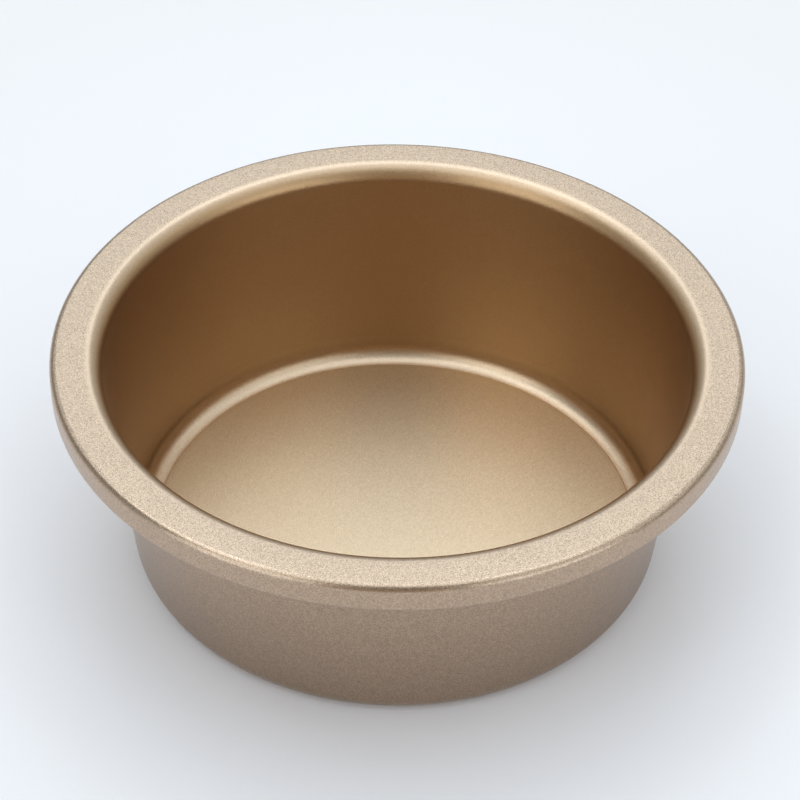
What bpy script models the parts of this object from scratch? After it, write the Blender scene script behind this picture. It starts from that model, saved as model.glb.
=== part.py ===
# Round chiffon cake pan with a loose base.
# Two pieces: a shell drawn from one sheet, and the flat disc that lies on the ledge at its foot.
# Metres, +Z up. The origin is the centre of the pan's underside, on the pan's own axis.

import math

import bmesh
import bpy

# Shell, overall. Radii and bends are those of the coated side, the side that shows.
rim_radius = 0.0900  # outside of the turned-down lip
pan_height = 0.0640  # underside to the top of the rim
sheet = 0.0006  # thickness of the drawn sheet
rim_width = 0.0130  # inside of the wall, carried up to the rim's top, out to the outside of the lip
wall_draft = math.radians(6.1)  # lean of the wall, which widens upwards

# Shell, bends from the foot to the rim
corner_radius = 0.0055  # ledge into wall
throat_radius = 0.0050  # wall into flat rim
shoulder_radius = 0.0024  # flat rim into lip
lip_depth = 0.0079  # top of the rim down to the foot of the lip
hem_radius = 0.0012  # fold at the lip's foot, which turns the cut edge inwards and up
hem_return = 0.0025  # straight leg of the hem, behind the lip

# Ledge and loose base
ledge_width = 0.0060  # flat ring that the base lies on
base_thickness = 0.0008
base_edge_radius = 0.0003  # rounding along both edges of the base
seat_clearance = 0.0003  # gap between the base and the ledge

# Fineness of the round forms
turn_steps = 72
corner_steps = 6
throat_steps = 6
shoulder_steps = 5
hem_steps = 8
edge_steps = 3

# Smooth shading stops where two faces meet more steeply than this.
sharp_angle = math.radians(32)

# Finish: red, green and blue in linear light, roughness, metallic
coating_colour = (0.54, 0.40, 0.27, 1.0)
coating_roughness = 0.34
coating_metallic = 0.95
base_roughness = 0.36


def wall_radius(height):
    # Radius of the wall's inside at a height above the table
    mouth_radius = rim_radius - rim_width
    return mouth_radius - (pan_height - height) * math.tan(wall_draft)


def corner_centre():
    # Centre of the bend between ledge and wall, tangent to both
    height = sheet + corner_radius
    return wall_radius(height) - corner_radius / math.cos(wall_draft), height


def throat_centre():
    # Centre of the bend between wall and rim, tangent to both
    height = pan_height - throat_radius
    return wall_radius(height) + throat_radius / math.cos(wall_draft), height


def bend(centre, radius, start, end, steps):
    # Stations along an arc: radius from the axis, height and heading of the sheet there.
    # A heading is an angle above level, looking outwards. The sheet turns left where the end is larger.
    side = 1 if end < start else -1
    stations = []
    for step in range(steps + 1):
        heading = start + (end - start) * step / steps
        out = centre[0] - side * radius * math.sin(heading)
        up = centre[1] + side * radius * math.cos(heading)
        stations.append((out, up, heading))
    return stations


def shell_stations():
    # The coated side of the sheet, from the ledge's inner edge up the wall, over the rim and round the hem
    level = 0.0
    wall_heading = math.pi / 2 - wall_draft
    down = -math.pi / 2
    hem_up = -3 * math.pi / 2
    corner = corner_centre()
    shoulder = (rim_radius - shoulder_radius, pan_height - shoulder_radius)
    hem = (rim_radius - hem_radius, pan_height - lip_depth + hem_radius)
    stations = [(corner[0] - ledge_width, sheet, level)]
    stations += bend(corner, corner_radius, level, wall_heading, corner_steps)
    stations += bend(throat_centre(), throat_radius, wall_heading, level, throat_steps)
    stations += bend(shoulder, shoulder_radius, level, down, shoulder_steps)
    stations += bend(hem, hem_radius, down, hem_up, hem_steps)
    stations.append((hem[0] - hem_radius, hem[1] + hem_return, hem_up))
    return stations


def sheet_side(stations, depth):
    # The stations moved into the metal by a depth, square to the sheet
    side = []
    for out, up, heading in stations:
        side.append((out + depth * math.sin(heading), up - depth * math.cos(heading)))
    return side


def shell_section():
    # Cut edge to cut edge along the coated side, and back along the other side
    stations = shell_stations()
    return sheet_side(stations, 0.0) + sheet_side(stations, sheet)[::-1]


def base_section():
    # Half of the disc's section, from the axis over the top and the rounded rim to the underside.
    # The rounding is centred straight below the centre of the corner's bend, so the disc lies as far
    # out as it can and its edge keeps the seat's clearance from the bend.
    edge_centre = corner_centre()[0]
    upper = (edge_centre, base_thickness - base_edge_radius)
    lower = (edge_centre, base_edge_radius)
    edge = bend(upper, base_edge_radius, 0.0, -math.pi / 2, edge_steps)
    edge += bend(lower, base_edge_radius, -math.pi / 2, -math.pi, edge_steps)
    return [(0.0, base_thickness)] + [(out, up) for out, up, _ in edge] + [(0.0, 0.0)]


def turned(name, section, closed, material):
    # A body turned about the pan's axis from half of its section
    work = bmesh.new()
    points = [work.verts.new((out, 0.0, up)) for out, up in section]
    edges = [work.edges.new(pair) for pair in zip(points, points[1:])]
    if closed:
        edges.append(work.edges.new((points[-1], points[0])))
    bmesh.ops.spin(
        work,
        geom=points + edges,
        cent=(0.0, 0.0, 0.0),
        axis=(0.0, 0.0, 1.0),
        angle=2 * math.pi,
        steps=turn_steps,
        use_merge=True,
    )
    bmesh.ops.remove_doubles(work, verts=work.verts, dist=1e-6)
    bmesh.ops.recalc_face_normals(work, faces=work.faces)
    mesh = bpy.data.meshes.new(name)
    work.to_mesh(mesh)
    work.free()
    mesh.shade_smooth()
    mesh.set_sharp_from_angle(angle=sharp_angle)
    mesh.materials.append(material)
    piece = bpy.data.objects.new(name, mesh)
    bpy.context.scene.collection.objects.link(piece)
    return piece


def coating(name, roughness):
    # Baked metallic non-stick coating
    material = bpy.data.materials.new(name)
    material.use_nodes = True
    shader = material.node_tree.nodes["Principled BSDF"]
    shader.inputs["Base Color"].default_value = coating_colour
    shader.inputs["Roughness"].default_value = roughness
    shader.inputs["Metallic"].default_value = coating_metallic
    material.diffuse_color = coating_colour
    return material


for old in list(bpy.data.objects):
    bpy.data.objects.remove(old, do_unlink=True)

shell = turned("pan_shell", shell_section(), True, coating("shell_coating", coating_roughness))

# The loose base slides up the pan's axis, on which its own origin lies.
base = turned("loose_base", base_section(), False, coating("base_coating", base_roughness))
base.parent = shell
base.location = (0.0, 0.0, sheet + seat_clearance)
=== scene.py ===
import math

import bmesh
import bpy
from mathutils import Matrix, Vector


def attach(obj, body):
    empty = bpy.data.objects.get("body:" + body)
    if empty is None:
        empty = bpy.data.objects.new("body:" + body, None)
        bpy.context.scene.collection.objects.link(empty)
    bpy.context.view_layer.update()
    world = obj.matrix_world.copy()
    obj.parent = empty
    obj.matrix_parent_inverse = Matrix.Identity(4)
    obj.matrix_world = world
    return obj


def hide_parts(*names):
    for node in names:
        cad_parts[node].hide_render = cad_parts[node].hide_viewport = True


# Round cake pan of coated sheet metal, with a loose base, on a pale table in soft light.

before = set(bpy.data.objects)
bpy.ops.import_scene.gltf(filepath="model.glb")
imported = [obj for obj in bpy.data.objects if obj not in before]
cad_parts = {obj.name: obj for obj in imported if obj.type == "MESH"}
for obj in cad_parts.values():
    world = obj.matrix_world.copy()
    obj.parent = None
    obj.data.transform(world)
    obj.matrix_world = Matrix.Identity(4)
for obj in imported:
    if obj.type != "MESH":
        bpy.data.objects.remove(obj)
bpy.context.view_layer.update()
scene = bpy.context.scene
print("frame loaded")


# Node helpers

def link(tree, source, target):
    # A socket is linked, anything else is the input's own value
    if isinstance(source, bpy.types.NodeSocket):
        tree.links.new(source, target)
    else:
        target.default_value = source


def makeNode(tree, kind, inputs=None, **settings):
    node = tree.nodes.new(kind)
    for name, value in settings.items():
        setattr(node, name, value)
    for name, value in (inputs or {}).items():
        link(tree, value, node.inputs[name])
    return node


def calc(tree, operation, first, second=0.0, third=None):
    node = tree.nodes.new("ShaderNodeMath")
    node.operation = operation
    link(tree, first, node.inputs[0])
    link(tree, second, node.inputs[1])
    if third is not None:
        link(tree, third, node.inputs[2])
    return node.outputs[0]


def clampTo(tree, value):
    return makeNode(tree, "ShaderNodeClamp", {"Value": value}).outputs[0]


def addSocket(tree, name, kind, value=None, output=False):
    direction = "OUTPUT" if output else "INPUT"
    socket = tree.interface.new_socket(name=name, in_out=direction, socket_type=kind)
    if value is not None:
        socket.default_value = value
    return socket


# The turned body: a Geometry Nodes group that carries a section round the pan's axis.
# Welding has a distance for the turning's seam and poles, and smaller ones for the finished mesh.

seamWeld = 2e-6
meshWeld = 1e-6
emptyFace = 1e-7
sharpAngle = math.radians(40)


def buildTurnGroup():
    tree = bpy.data.node_groups.new("turn_about_axis", "GeometryNodeTree")
    addSocket(tree, "Section", "NodeSocketGeometry")
    addSocket(tree, "Turns", "NodeSocketInt")
    addSocket(tree, "Closed", "NodeSocketInt")
    addSocket(tree, "Mesh", "NodeSocketGeometry", output=True)
    given = tree.nodes.new("NodeGroupInput").outputs
    points = makeNode(tree, "GeometryNodeCurveToMesh", {"Curve": given["Section"]}).outputs["Mesh"]
    size = makeNode(tree, "GeometryNodeAttributeDomainSize", {"Geometry": points})
    count = size.outputs["Point Count"]
    rows = calc(tree, "ADD", count, calc(tree, "SUBTRACT", given["Closed"], 1.0))
    grid = makeNode(tree, "GeometryNodeMeshGrid", {
        "Size X": given["Turns"],
        "Size Y": rows,
        "Vertices X": calc(tree, "ADD", given["Turns"], 1.0),
        "Vertices Y": calc(tree, "ADD", rows, 1.0),
    })
    place = makeNode(tree, "ShaderNodeSeparateXYZ", {
        "Vector": makeNode(tree, "GeometryNodeInputPosition").outputs[0],
    })
    turn = calc(tree, "ROUND", calc(tree, "MULTIPLY_ADD", given["Turns"], 0.5, place.outputs["X"]))
    row = calc(tree, "ROUND", calc(tree, "MULTIPLY_ADD", rows, 0.5, place.outputs["Y"]))
    angle = calc(tree, "DIVIDE", calc(tree, "MULTIPLY", turn, math.tau), given["Turns"])
    sample = makeNode(tree, "GeometryNodeSampleIndex", data_type="FLOAT_VECTOR", domain="POINT")
    link(tree, points, sample.inputs["Geometry"])
    link(tree, makeNode(tree, "GeometryNodeInputPosition").outputs[0], sample.inputs["Value"])
    link(tree, calc(tree, "FLOORED_MODULO", row, count), sample.inputs["Index"])
    section = makeNode(tree, "ShaderNodeSeparateXYZ", {"Vector": sample.outputs[0]})
    turned = makeNode(tree, "ShaderNodeCombineXYZ", {
        "X": calc(tree, "MULTIPLY", section.outputs["X"], calc(tree, "COSINE", angle)),
        "Y": calc(tree, "MULTIPLY", section.outputs["X"], calc(tree, "SINE", angle)),
        "Z": section.outputs["Z"],
    })
    body = makeNode(tree, "GeometryNodeSetPosition", {
        "Geometry": grid.outputs["Mesh"],
        "Position": turned.outputs[0],
    })
    merged = makeNode(tree, "GeometryNodeMergeByDistance", {
        "Geometry": body.outputs[0],
        "Distance": seamWeld,
    })
    end = tree.nodes.new("NodeGroupOutput")
    link(tree, merged.outputs[0], end.inputs["Mesh"])
    return tree


def sectionCurve(tree, corners, closed):
    # Corner points with a radius each become one rounded outline in the XZ plane.
    # A corner is (out, up, radius, steps along the bend).
    line = makeNode(tree, "GeometryNodeMeshLine", {"Count": len(corners)})
    pick = makeNode(tree, "GeometryNodeIndexSwitch", data_type="VECTOR")
    radius = makeNode(tree, "GeometryNodeIndexSwitch", data_type="FLOAT")
    steps = makeNode(tree, "GeometryNodeIndexSwitch", data_type="INT")
    index = makeNode(tree, "GeometryNodeInputIndex").outputs[0]
    for switch in (pick, radius, steps):
        while len(switch.index_switch_items) < len(corners):
            switch.index_switch_items.new()
        link(tree, index, switch.inputs["Index"])
    for number, (out, up, bend, count) in enumerate(corners):
        place = makeNode(tree, "ShaderNodeCombineXYZ", {"X": out, "Z": up})
        link(tree, place.outputs[0], pick.inputs[number + 1])
        link(tree, bend, radius.inputs[number + 1])
        link(tree, count, steps.inputs[number + 1])
    placed = makeNode(tree, "GeometryNodeSetPosition", {
        "Geometry": line.outputs[0],
        "Position": pick.outputs[0],
    })
    curve = makeNode(tree, "GeometryNodeMeshToCurve", {"Mesh": placed.outputs[0]}).outputs[0]
    if closed:
        curve = makeNode(tree, "GeometryNodeSetSplineCyclic", {
            "Geometry": curve,
            "Cyclic": True,
        }).outputs[0]
    rounded = makeNode(tree, "GeometryNodeFilletCurve", {
        "Curve": curve,
        "Count": steps.outputs[0],
        "Radius": radius.outputs[0],
        "Limit Radius": False,
    }, mode="POLY")
    return rounded.outputs[0]


def finishTree(tree, turnGroup, section, closed, given):
    # The last nodes of both trees: turn, realize, smooth, material
    turned = makeNode(tree, "GeometryNodeGroup")
    turned.node_tree = turnGroup
    link(tree, section, turned.inputs["Section"])
    link(tree, given["Turns"], turned.inputs["Turns"])
    turned.inputs["Closed"].default_value = int(closed)
    real = makeNode(tree, "GeometryNodeRealizeInstances", {"Geometry": turned.outputs[0]})
    smooth = makeNode(tree, "GeometryNodeSetShadeSmooth", {"Geometry": real.outputs[0]})
    dressed = makeNode(tree, "GeometryNodeSetMaterial", {"Geometry": smooth.outputs[0]})
    link(tree, given["Finish"], dressed.inputs["Material"])
    end = tree.nodes.new("NodeGroupOutput")
    link(tree, dressed.outputs[0], end.inputs["Mesh"])


def startTree(name, sizes):
    tree = bpy.data.node_groups.new(name, "GeometryNodeTree")
    for label, value in sizes.items():
        addSocket(tree, label, "NodeSocketInt" if isinstance(value, int) else "NodeSocketFloat", value)
    addSocket(tree, "Finish", "NodeSocketMaterial")
    addSocket(tree, "Mesh", "NodeSocketGeometry", output=True)
    return tree, tree.nodes.new("NodeGroupInput").outputs


# Shell: the sizes are those of the drawn sheet's coated side

shell = {
    "Rim Radius": 0.0900,
    "Pan Height": 0.0640,
    "Sheet": 0.0006,
    "Rim Width": 0.0130,
    "Wall Draft": math.radians(6.1),
    "Corner Radius": 0.0055,
    "Throat Radius": 0.0050,
    "Shoulder Radius": 0.0019,
    "Lip Depth": 0.0079,
    "Hem Radius": 0.0012,
    "Hem Return": 0.0025,
    "Ledge Width": 0.0060,
    "Turns": 300,
    "Bend Steps": 18,
    "Fold Steps": 9,
}


def buildShellTree(turnGroup):
    tree, given = startTree("pan_shell_turned", shell)

    def plus(first, second):
        return calc(tree, "ADD", first, second)

    def minus(first, second):
        return calc(tree, "SUBTRACT", first, second)

    def times(first, second):
        return calc(tree, "MULTIPLY", first, second)

    def over(first, second):
        return calc(tree, "DIVIDE", first, second)

    rim, top, sheet = given["Rim Radius"], given["Pan Height"], given["Sheet"]
    corner, throat, shoulder = given["Corner Radius"], given["Throat Radius"], given["Shoulder Radius"]
    hem, fine, small = given["Hem Radius"], given["Bend Steps"], given["Fold Steps"]
    slope = calc(tree, "TANGENT", given["Wall Draft"])
    slant = calc(tree, "COSINE", given["Wall Draft"])
    mouth = minus(rim, given["Rim Width"])

    def wallAt(height):
        # Radius of the wall's inside at a height
        return minus(mouth, times(minus(top, height), slope))

    wallSheet = over(sheet, slant)  # thickness of the leaning wall, measured level
    cornerOut = minus(wallAt(plus(sheet, corner)), over(corner, slant))
    ledgeIn = minus(cornerOut, given["Ledge Width"])
    underTop = minus(top, sheet)
    lipFoot = minus(top, given["Lip Depth"])
    legTop = plus(plus(lipFoot, hem), given["Hem Return"])
    legIn = minus(rim, times(hem, 2.0))
    corners = [
        (ledgeIn, sheet, 0.0, 1),
        (wallAt(sheet), sheet, corner, fine),
        (mouth, top, throat, fine),
        (rim, top, shoulder, fine),
        (rim, lipFoot, hem, small),
        (legIn, lipFoot, hem, small),
        (legIn, legTop, 0.0, 1),
        (plus(legIn, sheet), legTop, 0.0, 1),
        (plus(legIn, sheet), plus(lipFoot, sheet), minus(hem, sheet), small),
        (minus(rim, sheet), plus(lipFoot, sheet), minus(hem, sheet), small),
        (minus(rim, sheet), underTop, minus(shoulder, sheet), small),
        (plus(wallAt(underTop), wallSheet), underTop, minus(throat, sheet), small),
        (plus(wallAt(0.0), wallSheet), 0.0, plus(corner, sheet), fine),
        (ledgeIn, 0.0, 0.0, 1),
    ]
    finishTree(tree, turnGroup, sectionCurve(tree, corners, True), True, given)
    return tree


# Loose base: the disc that lies on the shell's ledge. Its edge is centred below the centre of the
# bend between ledge and wall.

seatClearance = 0.0003
mouthRadius = shell["Rim Radius"] - shell["Rim Width"]
wallDepth = shell["Pan Height"] - shell["Sheet"] - shell["Corner Radius"]
wallInset = wallDepth * math.tan(shell["Wall Draft"])
bendInset = shell["Corner Radius"] / math.cos(shell["Wall Draft"])
base = {
    "Edge Centre": mouthRadius - wallInset - bendInset,
    "Underside": shell["Sheet"] + seatClearance,
    "Thickness": 0.0008,
    "Edge Radius": 0.0003,
    "Flat Share": 0.97,  # of the radius, where the flat's last ring of faces begins
    "Turns": shell["Turns"],
    "Bend Steps": 8,
}


def buildBaseTree(turnGroup):
    tree, given = startTree("loose_base_turned", base)
    out = calc(tree, "ADD", given["Edge Centre"], given["Edge Radius"])
    top = calc(tree, "ADD", given["Underside"], given["Thickness"])
    foot = given["Underside"]
    halfway = calc(tree, "MULTIPLY", out, 0.5)
    flatEnd = calc(tree, "MULTIPLY", out, given["Flat Share"])
    corners = [
        (0.0, top, 0.0, 1),
        (halfway, top, 0.0, 1),
        (flatEnd, top, 0.0, 1),
        (out, top, given["Edge Radius"], given["Bend Steps"]),
        (out, foot, given["Edge Radius"], given["Bend Steps"]),
        (flatEnd, foot, 0.0, 1),
        (0.0, foot, 0.0, 1),
    ]
    finishTree(tree, turnGroup, sectionCurve(tree, corners, False), False, given)
    return tree


def makeTurned(name, tree, sizes, finish):
    # Evaluates the tree on an empty mesh and keeps the result as a plain mesh
    carrier = bpy.data.objects.new(name + "_carrier", bpy.data.meshes.new(name + "_carrier"))
    scene.collection.objects.link(carrier)
    modifier = carrier.modifiers.new("turned", "NODES")
    modifier.node_group = tree
    inputs = [item for item in tree.interface.items_tree if item.in_out == "INPUT"]
    sockets = {item.name: item.identifier for item in inputs}
    for label, value in sizes.items():
        modifier[sockets[label]] = value
    modifier[sockets["Finish"]] = finish
    graph = bpy.context.evaluated_depsgraph_get()
    mesh = bpy.data.meshes.new_from_object(carrier.evaluated_get(graph), depsgraph=graph)
    carrier.modifiers.remove(modifier)
    bpy.data.objects.remove(carrier, do_unlink=True)
    work = bmesh.new()
    work.from_mesh(mesh)
    bmesh.ops.remove_doubles(work, verts=work.verts, dist=meshWeld)
    bmesh.ops.dissolve_degenerate(work, edges=work.edges, dist=emptyFace)
    bmesh.ops.recalc_face_normals(work, faces=work.faces)
    work.to_mesh(mesh)
    work.free()
    mesh.name = name
    mesh.shade_smooth()
    mesh.set_sharp_from_angle(angle=sharpAngle)
    piece = bpy.data.objects.new(name, mesh)
    scene.collection.objects.link(piece)
    print(name, len(mesh.polygons), "faces")
    return piece


# Coating: shader groups for the flakes in the lacquer, for the unevenness of the spray and for the
# zones of the pan

def shaderGroup(name, inputs, outputs):
    tree = bpy.data.node_groups.new(name, "ShaderNodeTree")
    for label, kind in inputs.items():
        addSocket(tree, label, kind)
    for label, kind in outputs.items():
        addSocket(tree, label, kind, output=True)
    return tree, tree.nodes.new("NodeGroupInput").outputs, tree.nodes.new("NodeGroupOutput").inputs


def buildFlakeGroup():
    # Each grain has its own brightness and its own small tilt
    tree, given, ends = shaderGroup("metal_flake", {
        "Vector": "NodeSocketVector",
        "Scale": "NodeSocketFloat",
        "Contrast": "NodeSocketFloat",
        "Tilt": "NodeSocketFloat",
    }, {"Shade": "NodeSocketFloat", "Normal": "NodeSocketVector"})
    grains = makeNode(tree, "ShaderNodeTexVoronoi", {
        "Vector": given["Vector"],
        "Scale": given["Scale"],
        "Randomness": 1.0,
    }, feature="F1", voronoi_dimensions="3D")
    tone = makeNode(tree, "ShaderNodeSeparateColor", {"Color": grains.outputs["Color"]})
    centred = calc(tree, "SUBTRACT", tone.outputs[2], 0.5)
    link(tree, calc(tree, "MULTIPLY_ADD", centred, given["Contrast"], 1.0), ends["Shade"])
    lean = makeNode(tree, "ShaderNodeVectorMath", operation="SUBTRACT")
    link(tree, grains.outputs["Color"], lean.inputs[0])
    lean.inputs[1].default_value = (0.5, 0.5, 0.5)
    scaled = makeNode(tree, "ShaderNodeVectorMath", {"Scale": given["Tilt"]}, operation="SCALE")
    link(tree, lean.outputs[0], scaled.inputs[0])
    tilted = makeNode(tree, "ShaderNodeVectorMath", operation="ADD")
    link(tree, makeNode(tree, "ShaderNodeNewGeometry").outputs["Normal"], tilted.inputs[0])
    link(tree, scaled.outputs[0], tilted.inputs[1])
    unit = makeNode(tree, "ShaderNodeVectorMath", operation="NORMALIZE")
    link(tree, tilted.outputs[0], unit.inputs[0])
    link(tree, unit.outputs[0], ends["Normal"])
    return tree


def buildSprayGroup():
    # Shade lies about 1 and varies broadly, Fine lies about 0.5 and varies within a few millimetres
    tree, given, ends = shaderGroup("spray_unevenness", {
        "Vector": "NodeSocketVector",
        "Scale": "NodeSocketFloat",
        "Fineness": "NodeSocketFloat",
        "Amount": "NodeSocketFloat",
    }, {"Shade": "NodeSocketFloat", "Fine": "NodeSocketFloat"})
    broad = makeNode(tree, "ShaderNodeTexNoise", {
        "Vector": given["Vector"],
        "Scale": given["Scale"],
        "Detail": 3.0,
    }, noise_dimensions="3D")
    fine = makeNode(tree, "ShaderNodeTexNoise", {
        "Vector": given["Vector"],
        "Scale": calc(tree, "MULTIPLY", given["Scale"], given["Fineness"]),
        "Detail": 2.0,
    }, noise_dimensions="3D")
    centred = calc(tree, "SUBTRACT", broad.outputs["Fac"], 0.5)
    link(tree, calc(tree, "MULTIPLY_ADD", centred, given["Amount"], 1.0), ends["Shade"])
    link(tree, fine.outputs["Fac"], ends["Fine"])
    return tree


# Masks of the zones: each is a slope times a measure plus an offset, held between 0 and 1. Height is
# above the table in metres. Outward and upward are how far a face looks away from the axis and up.
maskLines = {
    "foot": (-250.0, 3.0),  # height: 1 up to 8 mm, 0 from 12 mm
    "facesUp": (5.0, 0.0),  # upward
    "wall": (-2.3, -0.75),  # outward
    "throat": (-5.0, -0.25),  # outward
    "fold": (-3.5, 1.1),  # distance of outward from foldMiddle
    "highlight": (-5.0, 1.0),  # distance of outward from the middle of the crest that carries the painted highlight
    # painted shade towards the foot of the outer wall
    "footShading": (-24.0, 1.0),  # height
}
footWall = -0.6  # added to the wall's offset near the foot, where the wall begins further up its bend
foldMiddle = 0.62
highlightMiddle = 0.32
footShadingPower = 1.3


def maskOf(tree, name, measure):
    slope, offset = maskLines[name]
    return clampTo(tree, calc(tree, "MULTIPLY_ADD", measure, slope, offset))


def distanceFrom(tree, value, middle):
    return calc(tree, "ABSOLUTE", calc(tree, "SUBTRACT", value, middle))


def buildZoneGroup():
    # Side is 1 on the lip and the outer wall, Fold on the bend above the lip, where a line of painted
    # shade lies,
    # Throat on the bend from the rim into the pan and Ring round the floor, both lighter for painted
    # highlights, Wall between the two, darker for painted shade, a crest output on the crests of the
    # outer bends for a painted highlight, and Low grows towards the foot of the outer wall, for painted
    # shade there
    names = ("Side", "Fold", "Throat", "Ring", "Wall", "Highlight", "Low")
    outputs = {name: "NodeSocketFloat" for name in names}
    tree, given, ends = shaderGroup("shell_zones", {"Vector": "NodeSocketVector"}, outputs)
    place = makeNode(tree, "ShaderNodeSeparateXYZ", {"Vector": given["Vector"]})
    facing = makeNode(tree, "ShaderNodeNewGeometry").outputs["Normal"]
    level = makeNode(tree, "ShaderNodeVectorMath", operation="MULTIPLY")
    link(tree, given["Vector"], level.inputs[0])
    level.inputs[1].default_value = (1.0, 1.0, 0.0)
    outwards = makeNode(tree, "ShaderNodeVectorMath", operation="NORMALIZE")
    link(tree, level.outputs[0], outwards.inputs[0])
    along = makeNode(tree, "ShaderNodeVectorMath", operation="DOT_PRODUCT")
    link(tree, facing, along.inputs[0])
    link(tree, outwards.outputs[0], along.inputs[1])
    outward = along.outputs["Value"]
    upward = makeNode(tree, "ShaderNodeSeparateXYZ", {"Vector": facing}).outputs["Z"]
    foot = maskOf(tree, "foot", place.outputs["Z"])
    above = maskOf(tree, "facesUp", upward)
    # painted shade: the inner wall takes a darker colour
    wallSlope, wallOffset = maskLines["wall"]
    wallStart = calc(tree, "MULTIPLY_ADD", foot, footWall, wallOffset)
    link(tree, clampTo(tree, calc(tree, "MULTIPLY_ADD", outward, wallSlope, wallStart)), ends["Wall"])
    # painted highlights: ring and throat take lighter colours
    link(tree, calc(tree, "MULTIPLY", foot, above), ends["Ring"])
    link(tree, maskOf(tree, "throat", outward), ends["Throat"])
    downward = calc(tree, "MULTIPLY", upward, -1.0)
    side = clampTo(tree, calc(tree, "MAXIMUM", outward, downward))
    link(tree, side, ends["Side"])
    # painted shade: the outer wall grows darker towards its foot
    footShading = calc(tree, "POWER", maskOf(tree, "footShading", place.outputs["Z"]), footShadingPower)
    link(tree, calc(tree, "MULTIPLY", side, footShading), ends["Low"])
    # painted shade: a dark line on the outer bend above the lip
    fold = maskOf(tree, "fold", distanceFrom(tree, outward, foldMiddle))
    link(tree, calc(tree, "MULTIPLY", above, fold), ends["Fold"])
    # painted highlight: the crests of the outer bends, lightened in the coating
    link(tree, maskOf(tree, "highlight", distanceFrom(tree, outward, highlightMiddle)), ends["Highlight"])
    return tree


# Each zone has its colour, the strength of its grain and its roughness. The rest holds for all zones.
# The zones are one coating, and their colours differ to paint light and shade.
coating = {
    "rim": ((0.449, 0.338, 0.240, 1.0), 0.66, 0.27),
    # side: tinted apart from the rim to paint how the lip and outer wall are lit
    "side": ((0.463, 0.342, 0.250, 1.0), 0.48, 0.31),
    # fold: a dark brown line of painted shade on the bend above the lip and round the base's edge
    "fold": ((0.443, 0.316, 0.210, 1.0), 0.50, 0.27),
    # throat and ring: lighter than the rim, painting the highlights on the inner bends on top of the
    # lamps' own
    "throat": ((0.603, 0.452, 0.316, 1.0), 0.19, 0.30),
    "ring": ((0.632, 0.469, 0.315, 1.0), 0.19, 0.30),
    # wall: deep brown, painted shade inside the pan, where light bounces among the walls
    "wall": ((0.449, 0.281, 0.144, 1.0), 0.12, 0.38),
    "base": ((0.664, 0.515, 0.347, 1.0), 0.22, 0.45),
    "metallic": 1.0,
    "grainScale": 4400.0,
    "grainTilt": 0.07,
    "sprayScale": 28.0,
    "sprayFineness": 22.0,
    "sprayAmount": 0.06,
    "sprayRoughness": 0.06,
    # painted highlight on the crests of the outer bends and of the base's edge, which are also a little
    # smoother there
    "highlightGain": 0.28,
    "highlightRoughness": -0.05,
    # painted shade at the foot of the outer wall
    "footShade": -0.26,
}


def mixNumbers(tree, factor, first, second):
    node = makeNode(tree, "ShaderNodeMix", {"Factor": factor}, data_type="FLOAT")
    link(tree, first, node.inputs[2])
    link(tree, second, node.inputs[3])
    return node.outputs[0]


def mixColours(tree, factor, first, second):
    node = makeNode(tree, "ShaderNodeMix", data_type="RGBA")
    link(tree, factor, node.inputs[0])
    link(tree, first, node.inputs[6])
    link(tree, second, node.inputs[7])
    return node.outputs[2]


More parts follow.
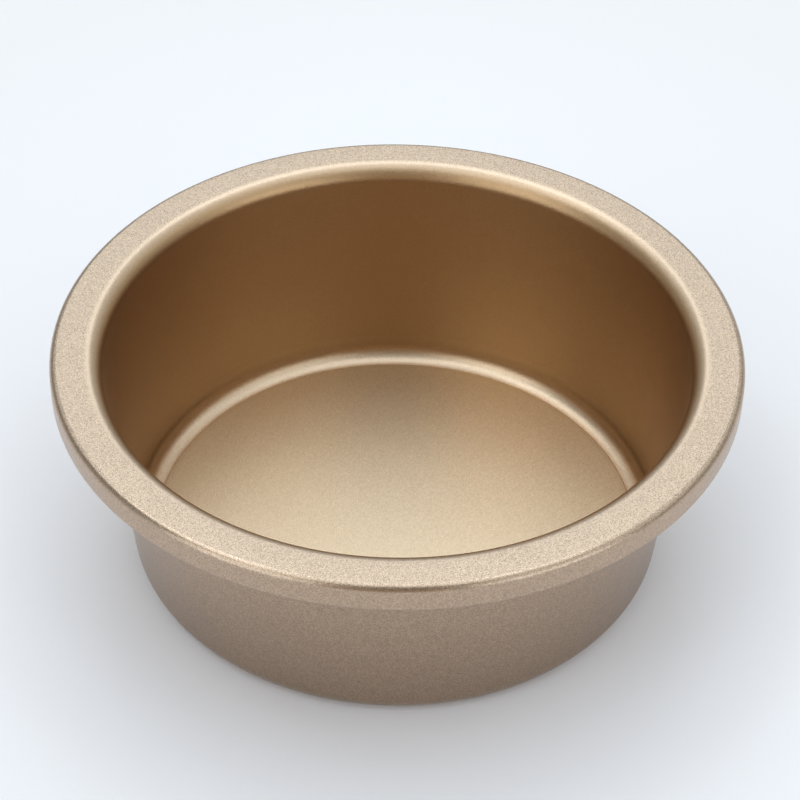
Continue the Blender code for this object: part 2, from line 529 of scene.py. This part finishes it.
def makeCoating(name, groups, zones):
    # The first zone is the ground, each further one lies where the zone group's output of its name is 1
    material = bpy.data.materials.new(name)
    material.use_nodes = True
    tree = material.node_tree
    shader = tree.nodes["Principled BSDF"]
    where = makeNode(tree, "ShaderNodeTexCoord").outputs["Object"]
    flake = makeNode(tree, "ShaderNodeGroup")
    flake.node_tree = groups["flake"]
    spray = makeNode(tree, "ShaderNodeGroup")
    spray.node_tree = groups["spray"]
    link(tree, where, flake.inputs["Vector"])
    link(tree, where, spray.inputs["Vector"])
    flake.inputs["Scale"].default_value = coating["grainScale"]
    flake.inputs["Tilt"].default_value = coating["grainTilt"]
    spray.inputs["Scale"].default_value = coating["sprayScale"]
    spray.inputs["Fineness"].default_value = coating["sprayFineness"]
    spray.inputs["Amount"].default_value = coating["sprayAmount"]
    shade = calc(tree, "MULTIPLY", flake.outputs["Shade"], spray.outputs["Shade"])
    zone = makeNode(tree, "ShaderNodeGroup")
    zone.node_tree = groups["zones"]
    link(tree, where, zone.inputs["Vector"])
    colour, contrast, rough = coating[zones[0]]
    blend = colour
    for label in zones[1:]:
        mask = zone.outputs[label.capitalize()]
        blend = mixColours(tree, mask, blend, coating[label][0])
        contrast = mixNumbers(tree, mask, contrast, coating[label][1])
        rough = mixNumbers(tree, mask, rough, coating[label][2])
    link(tree, contrast, flake.inputs["Contrast"])
    fine = spray.outputs["Fine"]
    # painted highlight: the crests of the outer bends are lightened, and a little smoother
    paintedHighlight = calc(tree, "MULTIPLY", zone.outputs["Highlight"], calc(tree, "ADD", fine, 0.5))
    shade = calc(tree, "MULTIPLY", shade, calc(tree, "MULTIPLY_ADD", paintedHighlight, coating["highlightGain"], 1.0))
    # painted shade towards the foot of the outer wall
    footShading = calc(tree, "MULTIPLY_ADD", zone.outputs["Low"], coating["footShade"], 1.0)
    shade = calc(tree, "MULTIPLY", shade, footShading)
    rough = calc(tree, "MULTIPLY_ADD", paintedHighlight, coating["highlightRoughness"], rough)
    change = coating["sprayRoughness"]
    rough = calc(tree, "ADD", rough, calc(tree, "MULTIPLY_ADD", fine, change, -change / 2))
    tint = makeNode(tree, "ShaderNodeVectorMath", operation="SCALE")
    link(tree, blend, tint.inputs[0])
    link(tree, shade, tint.inputs["Scale"])
    link(tree, tint.outputs[0], shader.inputs["Base Color"])
    link(tree, rough, shader.inputs["Roughness"])
    shader.inputs["Metallic"].default_value = coating["metallic"]
    link(tree, flake.outputs["Normal"], shader.inputs["Normal"])
    material.diffuse_color = colour
    return material


groups = {"flake": buildFlakeGroup(), "spray": buildSprayGroup(), "zones": buildZoneGroup()}
shellZones = ("rim", "side", "fold", "throat", "ring", "wall")
shellFinish = makeCoating("champagne_coating_shell", groups, shellZones)
# the fold colour paints a line of shade round the base's edge
baseFinish = makeCoating("champagne_coating_base", groups, ("base", "fold"))
print("coatings made")

turnGroup = buildTurnGroup()
panShell = makeTurned("pan_shell_coated", buildShellTree(turnGroup), shell, shellFinish)
looseBase = makeTurned("loose_base_coated", buildBaseTree(turnGroup), base, baseFinish)
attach(panShell, "shell")
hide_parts("pan_shell")
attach(looseBase, "base")
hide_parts("loose_base")
print("pan built")


# Table: a wide pale round sheet just below the pan, a little darker away from the pan, so its lighter
# middle is a painted pool of light

table = {
    "radius": 1.9,
    "sides": 96,
    "drop": 0.0002,
    "roughness": 0.9,
    # painted pool of light round the pan, fading to the far colour
    "nearColour": (0.945, 0.908, 0.883, 1.0),
    "farColour": (0.884, 0.840, 0.797, 1.0),
    "nearEnd": 0.12,  # distances from the middle between which the colour changes
    "farStart": 0.27,
}


def makeTable(settings):
    work = bmesh.new()
    bmesh.ops.create_circle(work, cap_ends=True, radius=settings["radius"], segments=settings["sides"])
    bmesh.ops.translate(work, verts=work.verts, vec=(0.0, 0.0, -settings["drop"]))
    mesh = bpy.data.meshes.new("table_sheet")
    work.to_mesh(mesh)
    work.free()
    piece = bpy.data.objects.new("table_sheet", mesh)
    scene.collection.objects.link(piece)
    material = bpy.data.materials.new("pale_table")
    material.use_nodes = True
    tree = material.node_tree
    shader = tree.nodes["Principled BSDF"]
    away = makeNode(tree, "ShaderNodeVectorMath", operation="LENGTH")
    link(tree, makeNode(tree, "ShaderNodeTexCoord").outputs["Object"], away.inputs[0])
    far = makeNode(tree, "ShaderNodeMapRange", {
        "Value": away.outputs["Value"],
        "From Min": settings["nearEnd"],
        "From Max": settings["farStart"],
    }).outputs[0]
    shade = mixColours(tree, far, settings["nearColour"], settings["farColour"])
    link(tree, shade, shader.inputs["Base Color"])
    shader.inputs["Roughness"].default_value = settings["roughness"]
    shader.inputs["Specular IOR Level"].default_value = 0.0
    mesh.materials.append(material)


makeTable(table)


# Light: a dome of soft panels round the pan. Each ring is named by its elevation in degrees, and its
# panels' strengths start at the back and go round by the right, the front and the left.

dome = {
    "radius": 2.0,
    "middle": 0.03,  # height of the dome's centre, which its panels face
    "colour": (0.90, 1.00, 1.10),
    "rings": {
        12: (0.37, 0.61, 0.44, 1.78, 0.31, 1.74, 0.41, 0.37),
        36: (1.58, 0.79, 0.97, 1.21, 0.16, 1.76, 0.36, 0.74),
        60: (1.95, 1.01, 1.00, 0.40, 1.53, 1.64),
    },
    "warmPanels": ("panel_12_4", "panel_36_4"),  # those behind the camera
    "warmColour": (1.15, 0.85, 0.60),
    "panelHeight": 24,  # in degrees, seen from the centre
    "top": 1.29,
    "topWidth": 36,
}


def makePanel(name, elevation, azimuth, width, height, radiance):
    light = bpy.data.lights.new(name, "AREA")
    light.shape = "RECTANGLE"
    light.size, light.size_y = width, height
    light.color = dome["warmColour" if name in dome["warmPanels"] else "colour"]
    light.energy = radiance * math.pi * width * height  # the power that shows as this radiance
    lamp = bpy.data.objects.new(name, light)
    centre = Vector((0.0, 0.0, dome["middle"]))
    level = dome["radius"] * math.cos(elevation)
    rise = dome["radius"] * math.sin(elevation)
    lamp.location = centre + Vector((level * math.sin(azimuth), level * math.cos(azimuth), rise))
    aim = centre - lamp.location
    lamp.rotation_euler = aim.to_track_quat("-Z", "Y").to_euler()
    lamp.visible_camera = False
    scene.collection.objects.link(lamp)


def makeDome(settings):
    height = 2 * settings["radius"] * math.tan(math.radians(settings["panelHeight"] / 2))
    for elevation, ring in settings["rings"].items():
        rise = math.radians(elevation)
        width = 2 * settings["radius"] * math.tan(math.pi / len(ring)) * math.cos(rise)
        for number, radiance in enumerate(ring):
            azimuth = math.tau * number / len(ring)
            makePanel(f"panel_{elevation}_{number}", rise, azimuth, width, height, radiance)
    width = 2 * settings["radius"] * math.tan(math.radians(settings["topWidth"] / 2))
    makePanel("panel_top", math.pi / 2, 0.0, width, width, settings["top"])


makeDome(dome)


# Room: white behind the table, faint in the metal past the panels, and no light on the table

room = {
    "colour": (0.90, 0.94, 0.97, 1.0),
    "inMetal": 0.1,
}


def makeRoom(settings):
    world = bpy.data.worlds.new("even_room")
    world.use_nodes = True
    tree = world.node_tree
    background = tree.nodes["Background"]
    background.inputs["Color"].default_value = settings["colour"]
    rays = makeNode(tree, "ShaderNodeLightPath").outputs
    faint = calc(tree, "MULTIPLY", rays["Is Glossy Ray"], settings["inMetal"])
    link(tree, calc(tree, "ADD", faint, rays["Is Camera Ray"]), background.inputs["Strength"])
    scene.world = world


makeRoom(room)
scene.view_settings.view_transform = "Standard"
print("stage and lamps set")


# Camera: placed and aimed as the outlines of rim, lip, foot and floor in the picture ask

camera = {
    "elevation": math.radians(39.667),
    "distance": 7.644 * shell["Rim Radius"],
    "lensPixels": 2651.4,
    "frameWidth": 800,
    "sensorWidth": 36.0,
    "roll": math.radians(0.822),
    "tilt": math.radians(1.2248),
    "pan": math.radians(-0.067),
}


def makeCamera(settings):
    rise, reach = math.sin(settings["elevation"]), math.cos(settings["elevation"])
    middle = Vector((0.0, 0.0, shell["Pan Height"]))  # the rim's centre, which the distance is from
    place = Vector((0.0, -reach, rise)) * settings["distance"]
    ahead = -place.normalized()
    right = Vector((1.0, 0.0, 0.0))
    down = ahead.cross(right)
    rows = Matrix((right, down, ahead))
    turn = Matrix.Rotation(settings["roll"], 3, "Z")
    turn = turn @ Matrix.Rotation(settings["tilt"], 3, "X") @ Matrix.Rotation(settings["pan"], 3, "Y")
    rows = turn @ rows
    data = bpy.data.cameras.new("photo_camera")
    data.sensor_fit = "HORIZONTAL"
    data.sensor_width = settings["sensorWidth"]
    data.lens = settings["lensPixels"] * settings["sensorWidth"] / settings["frameWidth"]
    data.clip_start = 0.01
    piece = bpy.data.objects.new("photo_camera", data)
    axes = Matrix((rows[0], -rows[1], -rows[2])).transposed()
    piece.matrix_world = Matrix.Translation(middle + place) @ axes.to_4x4()
    scene.collection.objects.link(piece)
    return piece


scene.camera = makeCamera(camera)
print("camera placed")

bpy.context.view_layer.update()
